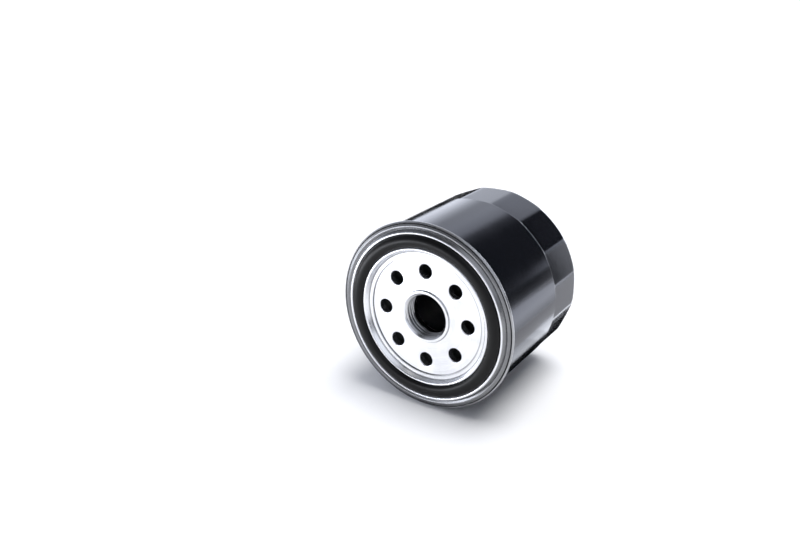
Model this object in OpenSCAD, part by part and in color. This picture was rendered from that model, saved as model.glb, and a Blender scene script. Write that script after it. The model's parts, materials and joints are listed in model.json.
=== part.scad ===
// Spin-on oil filter for a small engine.
// Every sub-part is drawn standing up: its axis is Z, z = 0 is the crown of the sealing
// gasket, which meets the engine, and +Z runs into the can. lay_down() then turns the
// filter on its side, so that the threaded face looks along -Y and the dome along +Y.

/* [Canister] */
// Outside diameter of the can
can_d = 76; // [70:0.5:82]
// Length from the gasket crown to the top of the dome
total_h = 66.2; // [62:0.1:72]
// Sheet thickness of the can
can_t = 0.4; // [0.3:0.05:0.5]
// Radius of the shoulder between wall and dome
shoulder_r = 4; // [3:0.5:5]

/* [Wrench flats] */
// Number of flats round the can
flat_count = 16; // [12:4:20]
// Start of the flats, measured from the gasket crown
flats_z = 41.6; // [38:0.2:46]
// Distance from the axis to a flat
flat_apothem = 37.25; // [36.9:0.05:37.4]
// Length of the sloping step at the start of each flat
flat_step = 0.8; // [0.5:0.1:2.5]

/* [Seaming lid] */
// Sheet thickness of the lid
lid_t = 0.45; // [0.4:0.05:0.5]
// Radius of the lid's inner edge
lid_inner_r = 25.4; // [24.5:0.1:26]

/* [Base plate] */
// Thickness of the plate
plate_t = 3; // [2.5:0.1:3.5]
// Radius of the plate
plate_r = 37.2; // [36.5:0.1:37.3]
// Number of oil inlet holes
inlet_count = 8; // [6:1:8]
// Diameter of each inlet hole
inlet_d = 5.9; // [4:0.1:6.5]
// Diameter of the circle that the inlet holes lie on
inlet_pcd = 38.3; // [37:0.1:39]

/* [Thread: 3/4-16 UNF] */
// Pitch of the thread
thread_pitch = 1.5875; // [1.25:0.0125:1.5875]
// Minor radius, which is the wall of the threaded hole
thread_minor_r = 8.73; // [8.6:0.01:8.8]
// Major radius, at the bottom of the groove
thread_major_r = 9.525; // [9.45:0.005:9.6]

/* [Filter element] */
// Outside radius of the end caps
cap_r = 34; // [32:0.5:34.5]
// Number of pleats
pleat_count = 48; // [36:2:52]
// Thickness of the filter paper
paper_t = 0.5; // [0.4:0.05:0.6]

/* [Valves and springs] */
// Wire diameter of the bypass spring
bypass_wire = 1; // [0.8:0.05:1.1]
// Wire diameter of the element spring
element_wire = 1.8; // [1.5:0.1:2]

/* [Hidden] */
$fn = 96;
eps = 0.01;

can_r = can_d / 2;

// Heights along the axis, from the gasket crown into the can
plate_face_z = 3.4;
groove_face_z = 4.325;
groove_seat_z = 4.85;
plate_back_z = plate_face_z + plate_t;
collar_face_z = 2.7;
thread_z = 3.9;
neck_end_z = 9.5;
lower_cap_z = 12.6;
upper_cap_z = 50;
dome_z = total_h - can_t;

// Can: the plane where the shoulder starts, and how far the dome swells past the shoulder
shoulder_z = total_h - 5.8;
shoulder_end = 84;
dome_swell = 0.37;

// Base plate
inlet_r = inlet_pcd / 2;
plate_step_r = 27.2;
neck_r = 12;
collar_r = 11;
thread_mouth_r = 9.9;

// Anti-drain valve, whose collar sits on the end of the neck
valve_bore_r = 10.2;
valve_skirt_z = 8.8;
valve_collar_r = 15;

// Seam: the lid's edge is folded round a flange at the mouth of the can
seam_r = can_r + 1.5;
seam_z = 2.78;
seam_gap = 0.02;
fold_r = (can_t + lid_t) / 2 + seam_gap;
fold_centre_r = seam_r - lid_t / 2 - fold_r;
flange_bend_r = 0.35;
wall_start_z = 8;

// Filter element
cap_t = 0.4;
cap_lip = 3;
potting_t = 1.15;
potting_gap = 0.02;
paper_gap = 0.05;
tube_r = 12.9;
tube_t = 0.5;
media_z = lower_cap_z + cap_t + potting_gap + potting_t + paper_gap;
media_top_z = upper_cap_z - potting_gap - potting_t - paper_gap;
pleat_inner_r = 14.6;
pleat_outer_r = 32.4;
pleat_fold = 0.9;

// Bypass valve, which hangs inside the centre tube from the upper end cap
seat_z = 49.9;
seat_t = 0.9;
seat_lip = 0.5;
seat_hole_r = 6;
seal_t = 0.8;
valve_disc_t = 0.8;
valve_disc_r = 8;
valve_gap = 0.1;
seal_z = seat_z - seat_t - seat_lip - valve_gap;
valve_disc_z = seal_z - seal_t;
stem_r = 2;
stem_l = 7.4;
cage_r = 9.7;
cage_t = 0.5;
cage_floor_z = 38;
cage_flange_r = 12.2;

// Springs
bypass_coil_r = 5.6;
element_coil_r = 14;
spring_seat_z = upper_cap_z + cap_t + 0.02;
spring_seat_t = 0.8;

// ---- helpers ----

// Turns the standing filter on its side: +Z becomes +Y
module lay_down() rotate([-90, 0, 0]) children();

// Points on an arc about c, from angle a0 to a1, in n steps
function arc(c, r, a0, a1, n = 6) =
    [for (i = [0:n]) let (a = a0 + (a1 - a0) * i / n) c + r * [cos(a), sin(a)]];

function unit(v) = v / norm(v);

function left_normal(a, b) = let (d = unit(b - a)) [-d[1], d[0]];

// Offset of point i of an open path, so that each side of a strip keeps its thickness
function mitre(p, i) =
    let (n0 = left_normal(p[max(i - 1, 0)], p[max(i, 1)]),
         n1 = left_normal(p[min(i, len(p) - 2)], p[min(i + 1, len(p) - 1)]),
         m = unit(n0 + n1))
    m / max(0.5, m * n0);

// Outline of a strip of thickness t that follows a path of points
function strip(p, t) = concat(
    [for (i = [0:len(p) - 1]) p[i] + mitre(p, i) * t / 2],
    [for (i = [len(p) - 1:-1:0]) p[i] - mitre(p, i) * t / 2]);

// Sheet metal turned about the axis; the path is in (radius, height)
module turned_sheet(path, t) rotate_extrude() polygon(strip(path, t));

module ring(r_in, r_out, z0, z1)
    translate([0, 0, z0]) difference() {
        cylinder(h = z1 - z0, r = r_out);
        translate([0, 0, -1]) cylinder(h = z1 - z0 + 2, r = r_in);
    }

// Solid swept along a helix: section is a list of (radius, height) offsets
module helix_sweep(section, turns, rise, steps) {
    n = len(section);
    rings = round(turns * steps);
    points = [for (i = [0:rings]) let (a = 360 * i / steps)
        for (s = section) [s[0] * cos(a), s[0] * sin(a), s[1] + rise * i / steps]];
    side_faces = [for (i = [0:rings - 1], j = [0:n - 1]) let (k = (j + 1) % n)
        each [[i * n + j, i * n + k, (i + 1) * n + k], [i * n + j, (i + 1) * n + k, (i + 1) * n + j]]];
    end_faces = [[for (j = [n - 1:-1:0]) j], [for (j = [0:n - 1]) rings * n + j]];
    polyhedron(points, concat(side_faces, end_faces), convexity = 10);
}

// Coil spring of round wire between two heights
module coil(r, wire, z0, z1, turns, steps = 20) {
    sides = 8;
    section = [for (j = [0:sides - 1]) let (a = -360 * j / sides)
        [r + wire / 2 * cos(a), z0 + wire / 2 + wire / 2 * sin(a)]];
    helix_sweep(section, turns, (z1 - z0 - wire) / turns, steps);
}

// ---- can, lid and base plate ----

// The can's outer form, shrunk by g: wall, shoulder and a shallow dome
module can_form(g) {
    shoulder = arc([can_r - shoulder_r, shoulder_z], shoulder_r - g, 0, shoulder_end, 8);
    rotate_extrude() polygon(concat(
        [[0, wall_start_z - g], [can_r - g, wall_start_z - g]], shoulder,
        [[can_r * 0.45, total_h - g - dome_swell], [0, total_h - g]]));
}

// Everything outside one flat, with the sloping step at its start
module flat_cut(g)
    rotate([90, 0, 0]) translate([0, 0, -can_r / 3]) linear_extrude(can_r * 2 / 3)
        polygon([[flat_apothem - g, flats_z + flat_step], [can_r + 0.2 - g, flats_z],
                 [can_r + 6, flats_z], [can_r + 6, total_h + 1], [flat_apothem - g, total_h + 1]]);

module flatted_can(g)
    difference() {
        can_form(g);
        for (i = [0:flat_count - 1])
            rotate([0, 0, i * 360 / flat_count]) flat_cut(g);
    }

// Deep-drawn steel can, flared at its mouth into the flange of the seam
module canister()
    color("#15161b") lay_down() {
        difference() {
            flatted_can(0);
            flatted_can(can_t);
        }
        turned_sheet(concat(
            [[fold_centre_r - 0.03, seam_z]],
            arc([can_r - can_t / 2 + flange_bend_r, seam_z + flange_bend_r], flange_bend_r, -90, -180),
            [[can_r - can_t / 2, wall_start_z]]), can_t);
    }

// Stamped lid: flat inner ring, gasket groove, lip, channel, ridge and the folded seam
module seaming_lid()
    color("#8e929b") lay_down() turned_sheet(concat(
        [[lid_inner_r, 3.15], [27.17, 3.15]],
        arc([28.55, 1.55], 0.4, -150, 0),
        arc([29.3, 4.2], 0.35, 180, 90, 4),
        arc([34.3, 4.2], 0.35, 90, 0, 4),
        arc([35.05, 1.5], 0.4, -180, -52),
        arc([36.35, 2.2], 0.35, 135, 62, 4),
        arc([37.45, 2.7], 0.62, -118, -76, 4),
        [[fold_centre_r - 0.25, seam_z - fold_r]],
        arc([fold_centre_r, seam_z], fold_r, -90, 90, 10),
        [[can_r + 0.25, seam_z + fold_r]]), lid_t);

// Lining compound squeezed into the corner between the lid and the can's flange
module seam_compound()
    color("#6f7a63") lay_down() rotate_extrude()
        polygon([[37.64, 2.5], [37.72, 2.41], [38.2, 2.52], [38.2, 2.545], [38, 2.565],
                 [37.85, 2.63], [37.74, 2.7], [37.66, 2.7]]);

// Cutter for the helical groove of the thread
module thread_groove() {
    flank = tan(30);
    top = thread_pitch / 16;
    cut_r = thread_minor_r - 0.13;
    half = top + (thread_major_r - cut_r) * flank;
    turns = 7;
    section = [[cut_r, -half], [thread_major_r, -top], [thread_major_r, top], [cut_r, half]];
    translate([0, 0, collar_face_z - 1]) helix_sweep(section, turns, thread_pitch, 24);
}

// Thick pressed plate with a threaded neck and a ring of oil inlet holes
module base_plate()
    color("#e6e7e8") lay_down() difference() {
        rotate_extrude() polygon([
            [thread_minor_r, thread_z], [thread_mouth_r, collar_face_z],
            [collar_r - 0.4, collar_face_z], [collar_r, collar_face_z + 0.35],
            [collar_r, plate_face_z], [plate_step_r, plate_face_z], [28.2, groove_seat_z],
            [plate_r, groove_seat_z], [plate_r, plate_back_z], [neck_r + 0.8, plate_back_z],
            [neck_r, plate_back_z + 0.8], [neck_r, neck_end_z - 0.5], [neck_r - 0.5, neck_end_z],
            [thread_mouth_r, neck_end_z], [thread_minor_r, neck_end_z - 1]]);
        thread_groove();
        for (i = [0:inlet_count - 1])
            rotate([0, 0, i * 360 / inlet_count]) translate([inlet_r, 0, 0])
                cylinder(h = plate_back_z + 1, d = inlet_d, $fn = 48);
    }

// Rubber gasket with a rounded top and a narrow flat crown
module sealing_gasket() {
    r_in = 29.2;
    r_out = 34.4;
    round_r = 1.6;
    color("#1b1c1e") lay_down() rotate_extrude() polygon(concat(
        [[r_out - 0.4, groove_face_z - 0.025], [r_in + 0.4, groove_face_z - 0.025], [r_in, 3.7]],
        arc([r_in + round_r, round_r], round_r, 180, 270, 6),
        arc([r_out - round_r, round_r], round_r, 270, 360, 6),
        [[r_out, 3.7]]));
}

// ---- anti-drain valve ----

// Collar of the rubber valve: it is clamped between the end of the neck and the lower end
// cap, and its skirt fits round the neck
module drain_valve_collar() {
    gap = 0.05;
    chamfer = 0.4;
    top_z = lower_cap_z - gap;
    color("#2a2a2c") lay_down() rotate_extrude() polygon([
        [valve_bore_r, neck_end_z + gap], [neck_r + gap, neck_end_z + gap],
        [neck_r + gap, valve_skirt_z], [valve_collar_r, valve_skirt_z],
        [valve_collar_r, top_z], [valve_bore_r + chamfer, top_z], [valve_bore_r, top_z - chamfer]]);
}

// Flap of the rubber valve, which covers the inlet holes and lifts when oil flows in
module drain_valve_flap()
    color("#2a2a2c") lay_down() rotate_extrude() polygon([
        [15.1, 8.6], [16.6, 8.2], [23, 7.4], [24.4, plate_back_z + 0.1], [25.4, plate_back_z + 0.1],
        [25.2, 7.4], [23.6, 8.5], [17, 9.5], [15.1, 9.9]]);

// ---- filter element ----

// Tin end cap drawn about z = 0 with its lip upwards
module end_cap(hole_r)
    rotate_extrude() polygon(strip(concat(
        [[hole_r, cap_t / 2]],
        arc([cap_r - cap_t / 2 - 0.5, cap_t / 2 + 0.5], 0.5, -90, 0, 4),
        [[cap_r - cap_t / 2, cap_lip]]), cap_t));

module lower_end_cap()
    color("#c9ccd0") lay_down() translate([0, 0, lower_cap_z]) end_cap(10.5);

module upper_end_cap()
    color("#c9ccd0") lay_down()
        translate([0, 0, upper_cap_z + cap_t]) mirror([0, 0, 1]) end_cap(seat_hole_r + 1.5);

// Adhesive that holds the pleats' ends
module potting(z0)
    ring(tube_r + 0.05, cap_r - cap_t - 0.5, z0, z0 + potting_t);

module lower_potting()
    color("#d9a441") lay_down() potting(lower_cap_z + cap_t + potting_gap);

module upper_potting()
    color("#d9a441") lay_down() potting(upper_cap_z - potting_gap - potting_t);

// Path of the folded paper; both of its ends meet at the fold on the X axis
pleat_path = let (w = pleat_fold / 2, step = 360 / pleat_count)
    [for (i = [0:pleat_count]) let (a = i * step, turn = step / 2)
        each concat(
            i == 0 ? [] : [[pleat_outer_r * cos(a) + w * sin(a), pleat_outer_r * sin(a) - w * cos(a)]],
            i == pleat_count ? [] : [
                [pleat_outer_r * cos(a) - w * sin(a), pleat_outer_r * sin(a) + w * cos(a)],
                [pleat_inner_r * cos(a + turn) + w * sin(a + turn),
                 pleat_inner_r * sin(a + turn) - w * cos(a + turn)],
                [pleat_inner_r * cos(a + turn) - w * sin(a + turn),
                 pleat_inner_r * sin(a + turn) + w * cos(a + turn)]])];

module pleated_media()
    color("#f0a81c") lay_down() translate([0, 0, media_z])
        linear_extrude(media_top_z - media_z) polygon(strip(pleat_path, paper_t));

// Folded steel strip that clips the two ends of the paper together
module media_seam_clip()
    color("#b8bcc2") lay_down() translate([0, 0, media_z + 0.5]) {
        half = pleat_fold / 2 + paper_t / 2 + 0.35;
        linear_extrude(media_top_z - media_z - 1)
            polygon(strip([[27, half], [pleat_outer_r + 0.5, half], [pleat_outer_r + 0.5, -half],
                           [27, -half]], 0.3));
    }

// Perforated steel tube inside the pleats; its lower end is plain
module centre_tube() {
    hole_rows = 4;
    holes_round = 8;
    hole_r = 1.5;
    plain_length = 20;
    z0 = lower_cap_z + cap_t + 0.05;
    z1 = upper_cap_z - 0.05;
    row_pitch = (z1 - z0 - plain_length) / hole_rows;
    color("#b3b7bd") lay_down() difference() {
        ring(tube_r - tube_t, tube_r, z0, z1);
        for (j = [1:hole_rows], i = [0:holes_round - 1])
            rotate([0, 0, (i + (j % 2) / 2) * 360 / holes_round])
                translate([tube_r - 4, 0, z0 + plain_length + (j - 0.5) * row_pitch])
                    rotate([0, 90, 0]) cylinder(h = 8, r = hole_r, $fn = 24);
    }
}

// ---- bypass valve ----

// Pressed ring with a turned-down lip that the seal closes against
module bypass_seat()
    color("#c2c6cb") lay_down() rotate_extrude() polygon([
        [seat_hole_r, seat_z - seat_t - seat_lip], [seat_hole_r + 0.7, seat_z - seat_t - seat_lip],
        [seat_hole_r + 0.9, seat_z - seat_t], [cage_flange_r, seat_z - seat_t],
        [cage_flange_r, seat_z], [seat_hole_r, seat_z]]);

module bypass_seal()
    color("#26272a") lay_down() ring(2.6, valve_disc_r, valve_disc_z + 0.02, seal_z);

// Metal disc with a hub through the seal and a guide stem
module bypass_disc()
    color("#d0c08a") lay_down() {
        translate([0, 0, valve_disc_z - valve_disc_t]) cylinder(h = valve_disc_t, r = valve_disc_r);
        translate([0, 0, valve_disc_z - eps]) cylinder(h = seal_t, r = 2.5);
        translate([0, 0, valve_disc_z - valve_disc_t - stem_l])
            cylinder(h = stem_l + eps, r = stem_r);
    }

module bypass_spring()
    color("#9aa0a8") lay_down()
        coil(bypass_coil_r, bypass_wire, cage_floor_z + cage_t + 0.05,
             valve_disc_z - valve_disc_t - 0.05, 4);

// Cup that carries the spring and guides the stem, with four windows in its wall
module bypass_cage() {
    window_z = cage_floor_z + 2.5;
    window_h = 5;
    color("#b3b7bd") lay_down() difference() {
        rotate_extrude() polygon([
            [stem_r + 0.3, cage_floor_z], [cage_r, cage_floor_z], [cage_r, seat_z - seat_t - cage_t - 0.02],
            [cage_flange_r, seat_z - seat_t - cage_t - 0.02], [cage_flange_r, seat_z - seat_t - 0.02],
            [cage_r - cage_t, seat_z - seat_t - 0.02], [cage_r - cage_t, cage_floor_z + cage_t],
            [stem_r + 0.3, cage_floor_z + cage_t]]);
        for (a = [0, 90]) rotate([0, 0, a])
            translate([-can_r / 2, -2.5, window_z]) cube([can_r, 5, window_h]);
    }
}

// ---- element spring ----

// Dished washer under the large spring
module spring_seat()
    color("#b3b7bd") lay_down() rotate_extrude() polygon([
        [8.5, spring_seat_z], [16.4, spring_seat_z], [16.4, spring_seat_z + 1.8],
        [15.9, spring_seat_z + 1.8], [15.9, spring_seat_z + spring_seat_t],
        [8.5, spring_seat_z + spring_seat_t]]);

module element_spring()
    color("#8d939b") lay_down()
        coil(element_coil_r, element_wire, spring_seat_z + spring_seat_t + 0.05, dome_z - 0.6, 3.5);

canister();
seaming_lid();
seam_compound();
base_plate();
sealing_gasket();
drain_valve_collar();
drain_valve_flap();
lower_end_cap();
lower_potting();
pleated_media();
media_seam_clip();
centre_tube();
upper_potting();
upper_end_cap();
bypass_seat();
bypass_seal();
bypass_disc();
bypass_spring();
bypass_cage();
spring_seat();
element_spring();
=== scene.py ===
"""Looks of a black spin-on oil filter that lies on its side on a white studio floor.

Lengths in the constants below are in millimetres, as a drawing of the filter would give them.
The stage is in metres, in the filter's own frame.
A profile is a list of (radius, y) points round the filter's axis, which is the Y axis:
y = 0 is the crown of the sealing gasket, and y grows towards the dome.
"""
import json
import math

import bmesh
import bpy
import numpy as np
from mathutils import Matrix, Vector

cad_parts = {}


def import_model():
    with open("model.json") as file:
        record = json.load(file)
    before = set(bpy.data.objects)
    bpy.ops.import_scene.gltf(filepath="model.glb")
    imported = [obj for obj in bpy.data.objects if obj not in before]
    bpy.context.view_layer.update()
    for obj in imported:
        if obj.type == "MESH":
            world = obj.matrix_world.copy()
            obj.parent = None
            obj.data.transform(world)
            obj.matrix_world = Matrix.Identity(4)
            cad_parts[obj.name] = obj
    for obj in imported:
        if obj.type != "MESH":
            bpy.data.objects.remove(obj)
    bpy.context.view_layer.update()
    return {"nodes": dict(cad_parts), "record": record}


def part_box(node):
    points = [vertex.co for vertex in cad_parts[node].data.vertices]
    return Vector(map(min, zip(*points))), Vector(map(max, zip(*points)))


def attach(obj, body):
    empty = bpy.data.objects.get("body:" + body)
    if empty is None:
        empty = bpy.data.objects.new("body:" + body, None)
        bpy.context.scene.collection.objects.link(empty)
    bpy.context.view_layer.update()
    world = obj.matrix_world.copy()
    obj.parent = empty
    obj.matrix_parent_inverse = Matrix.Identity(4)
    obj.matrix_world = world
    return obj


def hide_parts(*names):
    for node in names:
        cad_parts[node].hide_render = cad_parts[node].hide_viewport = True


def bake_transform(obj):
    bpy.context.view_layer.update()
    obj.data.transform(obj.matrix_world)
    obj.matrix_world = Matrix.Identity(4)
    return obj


MM = 0.001

# Can
CAN_R = 38.0
CAN_T = 0.4
TOTAL_H = 66.2
SHOULDER_R = 4.0
SHOULDER_DROP = 5.8
SHOULDER_END_DEG = 84
FLATS = 16
FLATS_Y = 41.6
FLAT_STEP = 0.8
FLAT_APOTHEM = 37.25
UNPRESSED_APOTHEM = 38.6

# Lid, and the seam where its edge is folded round the can's flange
LID_T = 0.45
SEAM_R = CAN_R + 1.49
SEAM_Y = 2.78
FOLD_R = (CAN_T + LID_T) / 2 + 0.02
FOLD_CENTRE_R = SEAM_R - LID_T / 2 - FOLD_R
FLANGE_BEND_R = 0.35
SCORE_R = 38.62
SCORE_HALF = 0.24
SCORE_DEPTH = 0.32

# Base plate and thread
PLATE_FACE_Y = 3.4
PLATE_BACK_Y = 6.4
PLATE_R = 37.2
COLLAR_FACE_Y = 2.7
THREAD_MOUTH_R = 9.9
THREAD_MINOR_R = 8.73
THREAD_MAJOR_R = 9.525
THREAD_PITCH = 1.5875
NECK_END_Y = 9.5
INLET_COUNT = 8
INLET_R = 2.95
INLET_CIRCLE_R = 19.15

# Element and springs
PLEATS = 48
PLEAT_IN_R = 14.6
PLEAT_OUT_R = 32.4
PAPER_T = 0.5

# Floor: how far it stays off the seam, and where the lowest flat ends
FLOOR_GAP = 0.02
FLAT_TOUCH_Y = 62.0


# ---------------------------------------------------------------- outlines

def arc(centre, radius, start, end, steps=8):
    """Points on an arc from angle start to end, in degrees, in the (radius, y) plane."""
    turns = [math.radians(start + (end - start) * i / steps) for i in range(steps + 1)]
    return [(centre[0] + radius * math.cos(a), centre[1] + radius * math.sin(a)) for a in turns]


def strip(path, thickness):
    """The closed outline of sheet metal whose middle follows an open path."""
    p = np.array(path, float)
    d = np.diff(p, axis=0)
    d /= np.linalg.norm(d, axis=1)[:, None]
    before = np.vstack([d[:1], d])
    after = np.vstack([d, d[-1:]])
    n0 = np.column_stack([-before[:, 1], before[:, 0]])
    n1 = np.column_stack([-after[:, 1], after[:, 0]])
    m = n0 + n1
    m /= np.linalg.norm(m, axis=1)[:, None]
    m /= np.maximum(0.5, (m * n0).sum(axis=1))[:, None]
    left = p + m * thickness / 2
    right = p - m * thickness / 2
    return [tuple(q) for q in left] + [tuple(q) for q in right[::-1]]


def resample(path, step):
    """The same path with its long stretches cut into lengths of about step."""
    out = [path[0]]
    for a, b in zip(path, path[1:]):
        n = max(1, round(math.dist(a, b) / step))
        out += [(a[0] + (b[0] - a[0]) * i / n, a[1] + (b[1] - a[1]) * i / n) for i in range(1, n + 1)]
    return out


# ---------------------------------------------------------------- mesh making

def new_object(name, verts, faces, sharp_deg=32):
    """A smooth-shaded mesh object from points in millimetres; edges past sharp_deg stay sharp."""
    mesh = bpy.data.meshes.new(name)
    mesh.from_pydata([tuple(c * MM for c in v) for v in verts], [], faces)
    obj = bpy.data.objects.new(name, mesh)
    bpy.context.scene.collection.objects.link(obj)
    clean(obj, sharp_deg)
    return obj


def clean(obj, sharp_deg):
    """Welds the mesh, turns its faces outwards and marks its sharp edges."""
    bm = bmesh.new()
    bm.from_mesh(obj.data)
    bmesh.ops.remove_doubles(bm, verts=bm.verts, dist=0.002 * MM)
    bmesh.ops.dissolve_degenerate(bm, edges=bm.edges, dist=0.001 * MM)
    bmesh.ops.recalc_face_normals(bm, faces=bm.faces)
    bm.to_mesh(obj.data)
    bm.free()
    obj.data.shade_smooth()
    obj.data.set_sharp_from_angle(angle=math.radians(sharp_deg))


def around(count):
    """Angles of count even steps round the axis."""
    return [2 * math.pi * i / count for i in range(count)]


def turned(name, outline, angles=None, shape=None, sharp_deg=32):
    """A closed outline of (radius, y) points turned about the axis.

    shape(angle, index, radius, y) may give another radius for one point of the outline.
    """
    angles = angles or around(192)
    verts = []
    for a in angles:
        for k, (r, y) in enumerate(outline):
            r = shape(a, k, r, y) if shape else r
            verts.append((r * math.cos(a), y, r * math.sin(a)))
    n = len(outline)
    faces = []
    for i in range(len(angles)):
        j = (i + 1) % len(angles)
        for k in range(n):
            m = (k + 1) % n
            faces.append((i * n + k, i * n + m, j * n + m, j * n + k))
    return new_object(name, verts, faces, sharp_deg)


def helix_tube(name, radius, y_at, wire, turns, steps=40, sides=14):
    """A round wire along a coil, with flat ends. y_at takes the share of the way and gives y."""
    rings = round(turns * steps)
    verts = []
    for i in range(rings + 1):
        s = i / rings
        y = y_at(s)
        a = 2 * math.pi * turns * s
        for j in range(sides):
            b = 2 * math.pi * j / sides
            r = radius + wire / 2 * math.cos(b)
            verts.append((r * math.cos(a), y + wire / 2 * math.sin(b), r * math.sin(a)))
    faces = [tuple(range(sides)), tuple(rings * sides + j for j in range(sides))]
    for i in range(rings):
        for j in range(sides):
            k = (j + 1) % sides
            faces.append((i * sides + j, i * sides + k, (i + 1) * sides + k, (i + 1) * sides + j))
    return new_object(name, verts, faces, 50)


def smooth_min(a, b, k):
    """The smaller of a and b, with the corner between them rounded over a width k."""
    h = min(1.0, max(0.0, 0.5 + 0.5 * (b - a) / k))
    return b + (a - b) * h - k * h * (1 - h)


def smooth_step(x):
    """Eases from 0 to 1 as x does."""
    x = min(1.0, max(0.0, x))
    return x * x * (3 - 2 * x)


# ---------------------------------------------------------------- pieces

def flat_angles():
    """Angles round the can, closer together near the corners between the flats."""
    half = 180 / FLATS
    shares = [0, 0.25, 0.5, 0.68, 0.8, 0.88, 0.93, 0.96, 0.985]
    within = sorted({-s for s in shares} | set(shares) | {1.0})
    return [math.radians((i * 2 + s) * half) for i in range(FLATS) for s in within]


def make_can():
    """The drawn can: flange, wall, pressed wrench flats, shoulder and shallow dome."""
    wall_r = CAN_R - CAN_T / 2
    shoulder_centre = (CAN_R - SHOULDER_R, TOTAL_H - SHOULDER_DROP)
    shoulder = arc(shoulder_centre, SHOULDER_R - CAN_T / 2, 0, SHOULDER_END_DEG, 28)
    crown = (0.0, TOTAL_H - CAN_T / 2)
    edge = shoulder[-1]
    rise = crown[1] - edge[1]
    dome = [(edge[0] * (1 - s), edge[1] + rise * (1 - (1 - s) ** 2)) for s in (i / 16 for i in range(1, 17))]
    flange = [(FOLD_CENTRE_R - 0.03, SEAM_Y)] + arc(
        (wall_r + FLANGE_BEND_R, SEAM_Y + FLANGE_BEND_R), FLANGE_BEND_R, -90, -180, 8)
    margin = 1.5
    step_low, step_high = (wall_r, FLATS_Y - margin), (wall_r, FLATS_Y + FLAT_STEP + margin)
    wall = resample([flange[-1], step_low], 3.0)
    step = resample([step_low, step_high], 0.12)
    flats = resample([step_high, shoulder[0]], 1.2)
    path = flange[:-1] + wall + step[1:] + flats[1:] + shoulder[1:] + dome
    outline = strip(path, CAN_T)
    inner_half = range(0, len(path)) if outline[len(flange)][0] < wall_r else range(len(path), len(outline))
    corner = math.pi / FLATS
    lead_in, corner_round, edge_round = 0.2, 0.1, 0.3

    def press(angle, k, r, y):
        """The radius left once the flats are pressed in; the wall and the dome's middle stay."""
        if y < FLATS_Y - 1.0 or r < 10:
            return max(r, 0.0)
        inset = CAN_T if k in inner_half else 0.0
        off = (angle + corner) % (2 * corner) - corner
        depth = smooth_step((y - FLATS_Y + lead_in) / (FLAT_STEP + lead_in))
        apothem = UNPRESSED_APOTHEM + (FLAT_APOTHEM - UNPRESSED_APOTHEM) * depth
        beside = apothem / math.cos(2 * corner - abs(off))
        flat = smooth_min(apothem / math.cos(off), beside, corner_round)
        return smooth_min(r, flat - inset, edge_round)

    return turned("can_shell", outline, flat_angles(), press, sharp_deg=40)


def make_lid():
    """The stamped lid: inner ring, gasket groove, lip, channel, ridge and the folded seam."""
    path = [(25.4, 3.15)] + arc((26.9, 2.75), 0.4, 90, 30, 5) + arc((28.55, 1.55), 0.4, -150, 0, 12)
    path += arc((29.3, 4.2), 0.35, 180, 90, 6) + arc((34.3, 4.2), 0.35, 90, 0, 6)
    path += arc((35.05, 1.5), 0.4, -180, -52, 12) + arc((36.35, 2.2), 0.35, 135, 62, 8)
    path += arc((37.45, 3.08), 1.0, -116, -72, 10)
    path += resample([(38.3, SEAM_Y - FOLD_R - 0.05), (FOLD_CENTRE_R - 0.25, SEAM_Y - FOLD_R),
                      (FOLD_CENTRE_R, SEAM_Y - FOLD_R)], 0.03)
    path += arc((FOLD_CENTRE_R, SEAM_Y), FOLD_R, -90, 90, 20)[1:] + [(CAN_R + 0.25, SEAM_Y + FOLD_R)]
    outline = []
    for r, y in strip(path, LID_T):
        beside = abs(r - SCORE_R) / SCORE_HALF
        if y < SEAM_Y - FOLD_R and beside < 1:
            y += SCORE_DEPTH * (1 - beside * beside)
        outline.append((r, y))
    return turned("lid_ring", outline, around(288))


def thread_radius(phase):
    """Radius of the internal thread at a share of one pitch: a land, a flank, a groove, a flank."""
    flank = (THREAD_MAJOR_R - THREAD_MINOR_R) * math.tan(math.pi / 6)
    half_land = 0.5 - (THREAD_PITCH / 16 + flank) / THREAD_PITCH
    half_groove = 1 / 16
    away = abs((phase + 0.5) % 1.0 - 0.5)
    share = (away - half_land) / (0.5 - half_groove - half_land)
    return THREAD_MINOR_R + (THREAD_MAJOR_R - THREAD_MINOR_R) * min(1.0, max(0.0, share))


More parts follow.
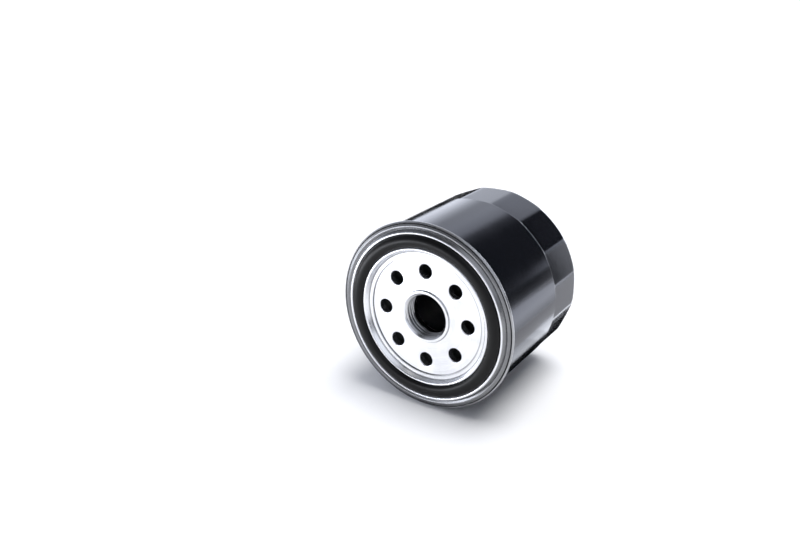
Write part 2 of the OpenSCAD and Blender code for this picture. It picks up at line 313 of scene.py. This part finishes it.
def make_plate():
    """The thick base plate: a turned blank with a helical thread, then punched for the oil."""
    angles = around(256)
    count = len(angles)
    outer = [(THREAD_MOUTH_R, COLLAR_FACE_Y)] + arc((10.65, COLLAR_FACE_Y + 0.35), 0.35, -90, 0, 6)
    outer += arc((11.25, PLATE_FACE_Y - 0.25), 0.25, 180, 90, 4)
    outer += [(27.2, PLATE_FACE_Y), (28.2, 4.85), (PLATE_R - 0.3, 4.85), (PLATE_R, 5.15)]
    outer += [(PLATE_R, PLATE_BACK_Y - 0.3), (PLATE_R - 0.3, PLATE_BACK_Y), (12.8, PLATE_BACK_Y)]
    outer += arc((12.8, PLATE_BACK_Y + 0.8), 0.8, -90, -180, 6)
    outer += [(12.0, NECK_END_Y - 0.5), (11.5, NECK_END_Y), (THREAD_MOUTH_R, NECK_END_Y)]
    verts = [(r * math.cos(a), y, r * math.sin(a)) for a in angles for r, y in outer]
    n = len(outer)
    faces = []
    for i in range(count):
        j = (i + 1) % count
        for k in range(n - 1):
            faces.append((i * n + k, i * n + k + 1, j * n + k + 1, j * n + k))
    # the thread is a sheet that climbs one pitch in each turn, held within the two mouths
    per_pitch = 16
    turns = math.ceil((NECK_END_Y - COLLAR_FACE_Y) / THREAD_PITCH) + 2
    base = len(verts)
    rows = turns * per_pitch + 1
    for i in range(count + 1):
        a = 2 * math.pi * i / count
        for k in range(rows):
            y = COLLAR_FACE_Y + (k / per_pitch - 1.5 + i / count) * THREAD_PITCH
            r = thread_radius(k / per_pitch)
            y = min(NECK_END_Y, max(COLLAR_FACE_Y, y))
            mouth = THREAD_MOUTH_R - (y - COLLAR_FACE_Y)
            back = THREAD_MOUTH_R - (NECK_END_Y - y)
            r = max(r, mouth, back)
            verts.append((r * math.cos(a), y, r * math.sin(a)))
    for i in range(count):
        for k in range(rows - 1):
            p = base + i * rows + k
            faces.append((p, p + rows, p + rows + 1, p + 1))
    plate = new_object("thread_plate", verts, faces)
    punch = inlet_punches()
    cut = plate.modifiers.new("inlets", "BOOLEAN")
    cut.operation = "DIFFERENCE"
    cut.solver = "EXACT"
    cut.object = punch
    depsgraph = bpy.context.evaluated_depsgraph_get()
    punched = bpy.data.meshes.new_from_object(plate.evaluated_get(depsgraph))
    plate.modifiers.clear()
    plate.data = punched
    bpy.data.objects.remove(punch)
    clean(plate, 30)
    return plate


def inlet_punches():
    """Eight punches whose roots flare a little, so that each hole's mouth is rounded."""
    flare = 0.4
    mouth_r = INLET_R + flare
    profile = [(0, PLATE_FACE_Y - 1), (mouth_r, PLATE_FACE_Y - 1), (mouth_r, PLATE_FACE_Y)]
    profile += [(mouth_r - flare * math.sin(t), PLATE_FACE_Y + flare * (1 - math.cos(t)))
                for t in (math.pi / 2 * i / 5 for i in range(1, 6))]
    profile += [(INLET_R, PLATE_BACK_Y + 1), (0, PLATE_BACK_Y + 1)]
    sides = 48
    verts = []
    faces = []
    for h in range(INLET_COUNT):
        turn = 2 * math.pi * h / INLET_COUNT
        cx, cz = INLET_CIRCLE_R * math.cos(turn), INLET_CIRCLE_R * math.sin(turn)
        base = len(verts)
        for s in range(sides):
            a = 2 * math.pi * s / sides
            verts += [(cx + r * math.cos(a), y, cz + r * math.sin(a)) for r, y in profile]
        n = len(profile)
        for s in range(sides):
            t = (s + 1) % sides
            for k in range(n - 1):
                faces.append((base + s * n + k, base + s * n + k + 1, base + t * n + k + 1, base + t * n + k))
    return new_object("inlet_punch", verts, faces)


def make_gasket():
    """The rubber ring: square in its groove, with a rounded crown."""
    r_in, r_out, round_r = 29.2, 34.4, 1.6
    foot, foot_y = 0.4, 4.3
    middle, half = (r_in + r_out) / 2, (r_out - r_in) / 2
    outline = [(r_in + foot, foot_y), (r_in, 3.9)]
    outline += [(middle - half * math.cos(t), round_r * (1 - math.sin(t)))
                for t in (math.pi * i / 32 for i in range(33))]
    outline += [(r_out, 3.9), (r_out - foot, foot_y)]
    return turned("gasket_ring", outline, around(256))


def make_drain_valve():
    """One rubber moulding: a collar on the neck and a cone that lies over the inlet holes."""
    outline = [(10.2, 12.15), (10.6, 12.55), (15.0, 12.55)] + arc((15.6, 10.6), 0.6, 180, 255, 5)
    outline += [(17.0, 9.55), (23.6, 8.5)] + arc((24.8, 7.3), 0.5, 60, 0, 4)
    outline += [(25.4, 6.5), (24.4, 6.5), (23.0, 7.4), (16.6, 8.25), (14.4, 8.7), (12.05, 8.8)]
    outline += [(12.05, NECK_END_Y + 0.05), (10.2, NECK_END_Y + 0.05)]
    return turned("drain_valve", outline)


def make_end_cap(name, hole_r, face_y, inwards):
    """A tin end cap: flat disc with a stiffening bead and a lip that holds the adhesive."""
    t = 0.4
    path = [(hole_r, t / 2)] + resample([(hole_r + 0.6, t / 2), (21.4, t / 2)], 4)
    path += [(22.0 + 2.4 * s, t / 2 + 0.25 * (1 - math.cos(2 * math.pi * s)) / 2)
             for s in (i / 12 for i in range(13))]
    path += [(26.0, t / 2)] + arc((33.3, 0.7), 0.5, -90, 0, 8) + [(33.8, 3.0)]
    outline = [(r, face_y + inwards * y) for r, y in strip(path, t)]
    return turned(name, outline)


def pleat_outline():
    """The folded paper seen along the axis: rounded folds, both ends at the angle 0."""
    fold_r = 0.45
    points = []
    step = 2 * math.pi / PLEATS
    for i in range(PLEATS):
        folds = (PLEAT_OUT_R - fold_r, i * step, 1), (PLEAT_IN_R + fold_r, (i + 0.5) * step, -1)
        for radius, at, way in folds:
            if i == 0 and way == 1:
                turns = [0.5]
            else:
                turns = [-0.5, -0.3, -0.1, 0.1, 0.3, 0.5]
            for q in turns:
                b = at + math.pi * q if way == 1 else at + math.pi - math.pi * q
                points.append((radius * math.cos(at) + fold_r * math.cos(b),
                               radius * math.sin(at) + fold_r * math.sin(b)))
    points.append((PLEAT_OUT_R - fold_r, -fold_r))
    return strip(points, PAPER_T)


def make_paper(low_y, high_y):
    """The pleated paper, with the slight waviness of folded paper along its length."""
    outline = pleat_outline()
    rows = 25
    wave = 0.0022
    n = len(outline)
    verts = []
    for k in range(rows):
        s = k / (rows - 1)
        y = low_y + (high_y - low_y) * s
        for x, z in outline:
            r = math.hypot(x, z)
            a = math.atan2(z, x)
            free = math.sin(math.pi * s) * min(1.0, abs(a) * 6)
            a += wave * free * math.sin(9 * a + 5 * s) * (r - PLEAT_IN_R) / (PLEAT_OUT_R - PLEAT_IN_R)
            verts.append((r * math.cos(a), y, r * math.sin(a)))
    faces = []
    for k in range(rows - 1):
        for j in range(n):
            m = (j + 1) % n
            faces.append((k * n + j, k * n + m, (k + 1) * n + m, (k + 1) * n + j))
    half = n // 2
    for row, flip in ((0, False), (rows - 1, True)):
        b = row * n
        for j in range(half - 1):
            quad = (b + j, b + j + 1, b + n - 2 - j, b + n - 1 - j)
            faces.append(quad[::-1] if flip else quad)
    return new_object("paper_pack", verts, faces, 50)


def make_spring(name, radius, wire, low_y, high_y, turns):
    """A coil spring whose pitch eases away over the last three quarters of a turn at each end."""
    closed = 0.75 / turns

    def height(s):
        """y of the wire's centre at the share s of the way."""
        if s < closed:
            share = 0.5 * (s / closed) ** 2 * closed
        elif s > 1 - closed:
            share = (1 - 1.5 * closed + 0.5 * closed) - 0.5 * ((1 - s) / closed) ** 2 * closed
        else:
            share = s - 0.5 * closed
        return low_y + wire / 2 + share / (1 - closed) * (high_y - low_y - wire)

    return helix_tube(name, radius, height, wire, turns)


# ---------------------------------------------------------------- materials

STEEL_RELIEF = 0.00002


class Graph:
    """The node graph of a material or world, with short calls for the nodes that they share."""

    def __init__(self, owner, shader, place):
        owner.use_nodes = True
        self.nodes = owner.node_tree.nodes
        self.links = owner.node_tree.links
        self.shader = self.nodes[shader]
        self.place = self.nodes.new("ShaderNodeTexCoord").outputs[place]

    def link(self, a, b):
        self.links.new(a, b)

    def node(self, kind, *inputs, **settings):
        """A node of this kind; inputs are values or sockets, in the order of its own."""
        n = self.nodes.new("ShaderNode" + kind)
        for key, value in settings.items():
            setattr(n, key, value)
        for socket, value in zip(n.inputs, inputs):
            if isinstance(value, bpy.types.NodeSocket):
                self.link(value, socket)
            else:
                socket.default_value = value
        return n

    def math(self, operation, a, b=0.0):
        return self.node("Math", a, b, operation=operation).outputs[0]

    def noise(self, scale, detail, roughness, place=None):
        n = self.nodes.new("ShaderNodeTexNoise")
        n.inputs["Scale"].default_value = scale
        n.inputs["Detail"].default_value = detail
        n.inputs["Roughness"].default_value = roughness
        self.link(place or self.place, n.inputs["Vector"])
        return n.outputs["Fac"]

    def spread(self, value, low, high, to_low, to_high):
        """Maps value from [low, high] to [to_low, to_high], held at the ends."""
        return self.node("MapRange", value, low, high, to_low, to_high).outputs[0]

    def ramp(self, value, *stops):
        """A colour ramp; each stop is (position, (r, g, b))."""
        n = self.nodes.new("ShaderNodeValToRGB")
        marks = n.color_ramp.elements
        marks.remove(marks[1])
        marks[0].position = stops[0][0]
        for position, _ in stops[1:]:
            marks.new(position)
        for mark, (_, colour) in zip(marks, stops):
            mark.color = (*colour, 1)
        self.link(value, n.inputs[0])
        return n.outputs[0]

    def bump(self, height, distance, strength):
        """Fine relief in the shading only; distance is in metres."""
        n = self.nodes.new("ShaderNodeBump")
        n.inputs["Strength"].default_value = strength
        n.inputs["Distance"].default_value = distance
        self.link(height, n.inputs["Height"])
        self.link(n.outputs[0], self.shader.inputs["Normal"])

    def radius(self):
        """Distance from the filter's axis, in metres."""
        x, _, z = self.node("SeparateXYZ", self.place).outputs
        return self.math("SQRT", self.math("ADD", self.math("MULTIPLY", x, x), self.math("MULTIPLY", z, z)))

    def turning_marks(self, scale):
        """Fine marks that run round the axis, and a tone that mixes them with soft smudges."""
        x, y, z = self.node("SeparateXYZ", self.place).outputs
        r = self.radius()
        a = self.math("ARCTAN2", z, x)
        parts = [self.math("MULTIPLY", value, by) for value, by in ((r, scale), (y, scale), (a, 1.2))]
        rings = self.noise(1.0, 5, 0.6, self.node("CombineXYZ", *parts).outputs[0])
        smudge = self.noise(90, 5, 0.62)
        tone = self.math("ADD", self.math("MULTIPLY", rings, 0.5), self.math("MULTIPLY", smudge, 0.5))
        return rings, tone


class Finish(Graph):
    """A material; the keywords set sockets of its shader, with _ for a space."""

    def __init__(self, name, **sockets):
        self.material = bpy.data.materials.new(name)
        super().__init__(self.material, "Principled BSDF", "Object")
        for key, value in sockets.items():
            self.shader.inputs[key.replace("_", " ")].default_value = value


def can_paint():
    """Gloss black enamel: slight orange peel and a faint haze in places."""
    g = Finish("can_paint", Base_Color=(0.0015, 0.002, 0.0035, 1), IOR=1.54,
               Specular_Tint=(0.76, 0.80, 1.0, 1))
    haze = g.spread(g.noise(55, 4, 0.6), 0.35, 0.7, 0.11, 0.16)
    g.link(haze, g.shader.inputs["Roughness"])
    peel = g.noise(520, 2, 0.4)
    g.bump(peel, 0.00003, 0.2)
    return g.material


def rolled_steel(name, colour, dark, roughness, ring_scale):
    """Pressed or turned sheet: fine marks that run round the axis and soft smudges."""
    g = Finish(name, Metallic=1.0)
    rings, tone = g.turning_marks(ring_scale)
    g.link(g.ramp(tone, (0.32, dark), (0.62, colour)), g.shader.inputs["Base Color"])
    g.link(g.spread(tone, 0.3, 0.7, roughness * 1.35, roughness * 0.8), g.shader.inputs["Roughness"])
    g.bump(rings, STEEL_RELIEF, 0.6)
    return g.material


def zinc_lid():
    """The lid: bright up to its lip, greyer over the channel; thin dark lines at its inner edge, at the foot
    of its wall and in the score beside the fold are painted shade, and the lighter fold past the score is
    partly a painted highlight.
    """
    # Painted shade: the dark levels at the inner edge, at 26.95 to 27.15 and in the score stand in for shade
    # there; the lighter level past the score partly paints the fold's bright crest.
    tone_and_shade_zones = ((25.55, 0.5), (25.9, 0.88), (26.75, 0.88), (26.95, 0.42), (27.15, 0.42), (27.4, 0.9),
             (35.3, 0.9), (35.6, 0.24), (SCORE_R - 0.28, 0.22), (SCORE_R - 0.16, 0.05),
             (SCORE_R + 0.12, 0.05), (SCORE_R + 0.3, 0.42))
    return zoned_steel("lid_steel", tone_and_shade_zones, (0.34, 0.2))


def plate_steel():
    """The threaded plate: bright, with painted shade darkening the thread, the crease at the foot of the neck
    and the line under the lid's inner edge.
    """
    # Painted shade: the low levels in the thread, in the crease at 10.98 to 11.2 and at 25.15 under the lid's
    # inner edge stand in for shade there.
    tone_and_shade_zones = ((8.95, 0.34), (9.3, 0.62), (9.9, 0.9), (10.8, 0.9), (10.98, 0.55), (11.2, 0.55), (11.4, 0.93),
             (24.95, 0.93), (25.15, 0.4))
    return zoned_steel("plate_steel", tone_and_shade_zones, (0.3, 0.18))


def zoned_steel(name, tone_and_shade_zones, roughness):
    """Turned sheet whose tone follows the radius; tone_and_shade_zones are (mm from the axis, level), and
    their dark levels are painted shade.
    """
    g = Finish(name, Metallic=1.0)
    rings, tone = g.turning_marks(5200)
    low, high = tone_and_shade_zones[0][0] - 1, tone_and_shade_zones[-1][0] + 1
    across = g.spread(g.radius(), low * MM, high * MM, 0.0, 1.0)
    # This ramp carries both the sheet's own tone and lines of painted shade.
    tint_and_shade = g.ramp(across, *(((r - low) / (high - low), (v, v * 1.01, v * 1.04)) for r, v in tone_and_shade_zones))
    wear = g.ramp(tone, (0.3, (0.72, 0.72, 0.73)), (0.62, (1.0, 1.0, 1.0)))
    both = g.node("Mix", data_type="RGBA", blend_type="MULTIPLY")
    both.inputs["Factor"].default_value = 1.0
    g.link(tint_and_shade, both.inputs[6])
    g.link(wear, both.inputs[7])
    g.link(both.outputs[2], g.shader.inputs["Base Color"])
    g.link(g.spread(tone, 0.3, 0.7, *roughness), g.shader.inputs["Roughness"])
    g.bump(rings, STEEL_RELIEF, 0.6)
    return g.material


def rubber(name, colour, roughness, ior):
    """Moulded rubber: fine grain and paler rubbed patches."""
    g = Finish(name, Roughness=roughness, IOR=ior)
    patch = g.noise(140, 4, 0.6)
    pale = tuple(c * 1.7 for c in colour)
    g.link(g.ramp(patch, (0.4, colour), (0.75, pale)), g.shader.inputs["Base Color"])
    g.link(g.spread(patch, 0.3, 0.7, roughness * 1.15, roughness * 0.85), g.shader.inputs["Roughness"])
    g.bump(g.noise(2600, 3, 0.6), 0.00002, 0.5)
    return g.material


def filter_paper():
    """Resin-treated paper: long fibres and a mottled yellow."""
    g = Finish("filter_paper", Roughness=0.82)
    g.shader.inputs["Sheen Weight"].default_value = 0.15
    fibres = g.noise(900, 6, 0.7)
    mottle = g.noise(160, 3, 0.5)
    tone = g.math("ADD", g.math("MULTIPLY", fibres, 0.45), g.math("MULTIPLY", mottle, 0.55))
    g.link(g.ramp(tone, (0.35, (0.62, 0.29, 0.03)), (0.65, (0.9, 0.52, 0.09))), g.shader.inputs["Base Color"])
    g.bump(fibres, 0.00006, 0.6)
    return g.material


def cured_glue(name, colour):
    """Poured adhesive or lining compound: glossy, uneven, with small bubbles."""
    g = Finish(name, Roughness=0.35)
    g.shader.inputs["Subsurface Weight"].default_value = 0.15
    g.shader.inputs["Subsurface Radius"].default_value = (0.002, 0.001, 0.0005)
    patch = g.noise(120, 3, 0.5)
    g.link(g.ramp(patch, (0.3, tuple(c * 0.7 for c in colour)), (0.7, colour)), g.shader.inputs["Base Color"])
    bubbles = g.nodes.new("ShaderNodeTexVoronoi")
    bubbles.inputs["Scale"].default_value = 900
    g.link(g.place, bubbles.inputs["Vector"])
    g.bump(bubbles.outputs["Distance"], 0.00005, 0.4)
    return g.material


def passivated(name):
    """Yellow-passivated zinc: gold with green and pink drift."""
    g = Finish(name, Metallic=1.0, Roughness=0.32)
    drift = g.noise(130, 3, 0.5)
    stops = ((0.3, (0.55, 0.42, 0.16)), (0.5, (0.68, 0.60, 0.30)), (0.7, (0.62, 0.48, 0.36)))
    g.link(g.ramp(drift, *stops), g.shader.inputs["Base Color"])
    g.bump(g.noise(1500, 3, 0.6), 0.00001, 0.5)
    return g.material


def make_materials():
    """Every finish, by the record's material slot."""
    return {
        "can_paint": can_paint(),
        "lid_steel": zinc_lid(),
        "plate_steel": plate_steel(),
        "gasket_rubber": rubber("gasket_rubber", (0.002, 0.002, 0.0022), 0.32, 1.30),
        "valve_rubber": rubber("valve_rubber", (0.002, 0.002, 0.002), 0.55, 1.35),
        "tinplate": rolled_steel("tinplate", (0.80, 0.80, 0.80), (0.62, 0.62, 0.63), 0.25, 2600),
        "adhesive": cured_glue("adhesive", (0.74, 0.50, 0.14)),
        "filter_paper": filter_paper(),
        # inner_steel is darker than bare steel so that the bore looks dark: partly painted shade.
        "inner_steel": rolled_steel("inner_steel", (0.22, 0.22, 0.23), (0.14, 0.14, 0.15), 0.33, 4000),
        "spring_steel": rolled_steel("spring_steel", (0.36, 0.36, 0.39), (0.20, 0.20, 0.22), 0.34, 7000),
        "zinc_yellow": passivated("zinc_yellow"),
        "compound": cured_glue("compound", (0.18, 0.22, 0.15)),
    }


def dress(obj, slot, materials):
    """Gives a piece, or a CAD node, the finish of one of the record's material slots."""
    obj.data.materials.clear()
    obj.data.materials.append(materials[slot])


# ---------------------------------------------------------------- stage

CAMERA_AT = Vector((0.16104, -0.24502, 0.13985))
CAMERA_AZIMUTH = 34.85
CAMERA_ELEVATION = 22.53
CAMERA_ROLL = -1.15
CAMERA_LENS = 37.16


def make_camera():
    """The camera at the photograph's place; azimuth 0 looks along +Y."""
    az, el, roll = (math.radians(v) for v in (CAMERA_AZIMUTH, CAMERA_ELEVATION, CAMERA_ROLL))
    ahead = Vector((-math.sin(az) * math.cos(el), math.cos(az) * math.cos(el), -math.sin(el)))
    level = ahead.cross(Vector((0, 0, 1))).normalized()
    above = level.cross(ahead)
    right = level * math.cos(roll) + above * math.sin(roll)
    up = above * math.cos(roll) - level * math.sin(roll)
    data = bpy.data.cameras.new("camera")
    data.sensor_width = 36
    data.lens = CAMERA_LENS
    data.clip_start = 0.01
    camera = bpy.data.objects.new("camera", data)
    camera.matrix_world = Matrix.Translation(CAMERA_AT) @ Matrix(
        [[right[i], up[i], -ahead[i], 0] for i in range(3)] + [[0, 0, 0, 1]])
    bpy.context.scene.collection.objects.link(camera)
    bpy.context.scene.camera = camera


def area_light(name, at, aim, size, power):
    """A rectangular light at one place that faces another, unseen by the camera."""
    data = bpy.data.lights.new(name, "AREA")
    data.shape = "RECTANGLE"
    data.size, data.size_y = size
    data.energy = power
    light = bpy.data.objects.new(name, data)
    light.location = at
    light.rotation_euler = (Vector(aim) - Vector(at)).to_track_quat("-Z", "Y").to_euler()
    light.visible_camera = False
    bpy.context.scene.collection.objects.link(light)


def floor_height(y):
    """Height of the floor, which touches the seam and the end of the lowest flat; all in metres."""
    slope = (SEAM_R - FLAT_APOTHEM) / (FLAT_TOUCH_Y - SEAM_Y)
    return (-SEAM_R - FLOOR_GAP - SEAM_Y * slope) * MM + y * slope


def make_stage():
    """A pale floor that meets the seam and the lowest flat, and soft studio light."""
    tilt = math.atan2(SEAM_R - FLAT_APOTHEM, FLAT_TOUCH_Y - SEAM_Y)
    half = 12.0
    mesh = bpy.data.meshes.new("floor")
    corners = [(-half, -half, 0), (half, -half, 0), (half, half, 0), (-half, half, 0)]
    mesh.from_pydata(corners, [], [(0, 1, 2, 3)])
    floor = bpy.data.objects.new("floor", mesh)
    floor.location = (0, SEAM_Y * MM, floor_height(SEAM_Y * MM))
    floor.rotation_euler = (tilt, 0, 0)
    g = Finish("floor", Roughness=0.6, Specular_IOR_Level=0.0)
    grain = g.noise(40, 3, 0.5)
    g.link(g.ramp(grain, (0.3, (0.95, 0.95, 0.96)), (0.7, (0.97, 0.97, 0.98))), g.shader.inputs["Base Color"])
    mesh.materials.append(g.material)
    bpy.context.scene.collection.objects.link(floor)
    area_light("overhead", (-0.1, 0.15, 1.1), (0, 0.03, 0), (0.9, 0.9), 1.8)
    soft_sun((0.22, 0.10, 1.0), 2.55, 38)
    place_cards()
    make_dome()
    bpy.context.scene.view_settings.view_transform = "Standard"


def place_cards():
    """The studio's softboxes and flags, as the gloss of the object shows them; in metres."""
    standing_card("back_left_flag", (-0.43, 0.09), (-0.09, 0.47), -0.045, 0.055, 0)
    fading = (-0.045, -0.03, 0.8), (-0.03, -0.015, 0.45), (-0.015, 0.0, 0.25), (0.0, 0.03, 0.12)
    for low, high, level in fading:
        standing_card("back_right_flag", (0.221, 0.36), (0.372, 0.175), low, high, level)
    standing_card("front_left_card", (-0.19, -0.09), (-0.10, -0.19), -0.045, -0.002, 9)
    key_corners = [(0.5, -0.35, 0.15), (0.5, 0.15, 0.15), (0.1, 0.15, 0.55), (0.1, -0.35, 0.55)]
    card("key_card", key_corners, 1.1)
    # Painted shadow: this black card shows only in the gloss and darkens the reflected floor under the can,
    # where it lies in shade.
    lying_card("under_can_shadow_flag", (-0.06, 0.008), (0.037, 0.13), 0)
    lying_card("left_flag", (-0.15, -0.004), (-0.06, 0.13), 0.2)
    lying_card("near_card_front", (0.0348, 0.03), (0.052, 0.064), 1.65)
    lying_card("near_card_middle", (0.0348, 0.064), (0.052, 0.074), 2.2)
    lying_card("near_card_back", (0.0348, 0.074), (0.052, 0.12), 2.85)
    lying_card("near_card_edge", (0.052, 0.08), (0.055, 0.12), 1.8)
    standing_card("behind_card", (-0.10, 0.55), (0.24, 0.55), -0.06, 0.05, 6)
    lying_card("step_card", (-0.02, 0.135), (0.06, 0.22), 4)
    lying_card("far_card_rim", (0.079, 0.08), (0.21, 0.28), 1.6)
    lying_card("far_card_edge", (0.088, 0.09), (0.2, 0.26), 2.05, 0.3)
    lying_card("far_card", (0.10, 0.10), (0.19, 0.245), 2.6, 0.4)


def soft_sun(towards, strength, width_deg):
    """Even light from one side of the studio; towards points at it."""
    data = bpy.data.lights.new("soft_sun", "SUN")
    data.energy = strength
    data.angle = math.radians(width_deg)
    light = bpy.data.objects.new("soft_sun", data)
    light.visible_glossy = False
    light.rotation_euler = Vector(towards).to_track_quat("Z", "Y").to_euler()
    bpy.context.scene.collection.objects.link(light)


def card(name, corners, level):
    """A card that only shows in the gloss of the object; level 0 makes it a black flag."""
    mesh = bpy.data.meshes.new(name)
    mesh.from_pydata(corners, [], [(0, 1, 2, 3)])
    g = Finish(name, Base_Color=(0.002, 0.002, 0.002, 1), Roughness=1.0, Specular_IOR_Level=0.0,
               Emission_Color=(0.90, 0.93, 1.0, 1), Emission_Strength=level)
    mesh.materials.append(g.material)
    obj = bpy.data.objects.new(name, mesh)
    obj.visible_camera = False
    obj.visible_shadow = False
    obj.visible_diffuse = False
    bpy.context.scene.collection.objects.link(obj)


def standing_card(name, a, b, low, high, level):
    """An upright card over the line from a to b, both (x, y)."""
    card(name, [(*a, low), (*b, low), (*b, high), (*a, high)], level)


def lying_card(name, a, b, level, lift=0.2):
    """A card on the floor with opposite corners a and b, both (x, y), raised by lift millimetres."""
    near, far = (floor_height(y) + lift * MM for y in (a[1], b[1]))
    card(name, [(a[0], a[1], near), (b[0], a[1], near), (b[0], b[1], far), (a[0], b[1], far)], level)


def make_dome():
    """The studio round the object: dim, with six soft glows.

    A glow is the direction of its centre, its strength, and stops of (cosine of the angle off
    that direction, share of the strength).
    """
    world = bpy.data.worlds.new("world")
    bpy.context.scene.world = world
    g = Graph(world, "Background", "Generated")
    glows = [
        ((-0.65, 0.75, 0.12), 2.6, (0.62, 0.0), (0.71, 0.08), (0.76, 0.56), (0.84, 0.62), (0.93, 0.44),
         (0.965, 0.68), (0.985, 0.9), (0.995, 1.0)),
        ((0.44, 0.90, 0.05), 1.9, (0.9935, 0.0), (0.998, 1.0)),
        ((0.03, 1.0, 0.08), 6.0, (0.972, 0.0), (0.99, 1.0)),
        ((0.50, -0.80, 0.42), 0.8, (0.75, 0.0), (0.95, 1.0)),
        ((-0.98, -0.2, 0.2), 0.35, (0.5, 0.0), (0.8, 1.0)),
        ((-0.98, 0.15, 0.0), 1.8, (0.93, 0.0), (0.985, 1.0)),
    ]
    total = 0.08
    for towards, strength, *stops in glows:
        aim = Vector(towards).normalized()
        facing = g.node("VectorMath", g.place, tuple(aim), operation="DOT_PRODUCT").outputs["Value"]
        shape = g.ramp(facing, *((position, (level,) * 3) for position, level in stops))
        total = g.math("ADD", g.math("MULTIPLY", shape, strength), total)
    g.link(total, g.shader.inputs["Strength"])
    g.shader.inputs["Color"].default_value = (0.86, 0.90, 1.0, 1)


# ---------------------------------------------------------------- assembly

def main():
    """Builds the stage and the pieces, hangs the rigid pieces on their bodies and hides the CAD nodes that
    the pieces stand in for.
    """
    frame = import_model()
    make_camera()
    make_stage()
    materials = make_materials()
    paper_low, paper_high = (v.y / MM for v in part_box("pleated_media"))
    main_low, main_high = (v.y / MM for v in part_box("element_spring"))
    valve_low, valve_high = (v.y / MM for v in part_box("bypass_spring"))
    root, element = "root", "element"
    pieces = [
        (make_can(), "can_paint", root, ["canister"]),
        (make_lid(), "lid_steel", root, ["seaming_lid"]),
        (make_plate(), "plate_steel", root, ["base_plate"]),
        (make_gasket(), "gasket_rubber", root, ["sealing_gasket"]),
        (make_end_cap("lower_cap", 10.5, 12.6, 1), "tinplate", element, ["lower_end_cap"]),
        (make_end_cap("upper_cap", 7.5, 50.4, -1), "tinplate", element, ["upper_end_cap"]),
        (make_paper(paper_low, paper_high), "filter_paper", element, ["pleated_media"]),
    ]
    for piece, slot, body, nodes in pieces:
        dress(piece, slot, materials)
        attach(piece, body)
        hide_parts(*nodes)
    main_spring = make_spring("main_spring", 14.0, 1.8, main_low, main_high, 3.5)
    valve_spring = make_spring("valve_spring", 5.6, 1.0, valve_low, valve_high, 4.5)
    drain_valve = make_drain_valve()
    bending = [
        (main_spring, "spring_steel", ["element_spring"], element, root, main_low, main_high),
        (valve_spring, "spring_steel", ["bypass_spring"], element, "bypass_valve", valve_low, valve_high),
        (drain_valve, "valve_rubber", ["drain_valve_collar", "drain_valve_flap"],
         root, "drain_flap", 9.2, 6.9),
    ]
    for piece, slot, nodes, body_a, body_b, start_y, end_y in bending:
        dress(piece, slot, materials)
        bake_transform(piece)
        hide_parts(*nodes)
    slots = {row["node"]: row["material_slot"] for row in frame["record"]["subparts"]}
    for node, obj in frame["nodes"].items():
        if not obj.hide_render:
            dress(obj, slots[node], materials)


main()
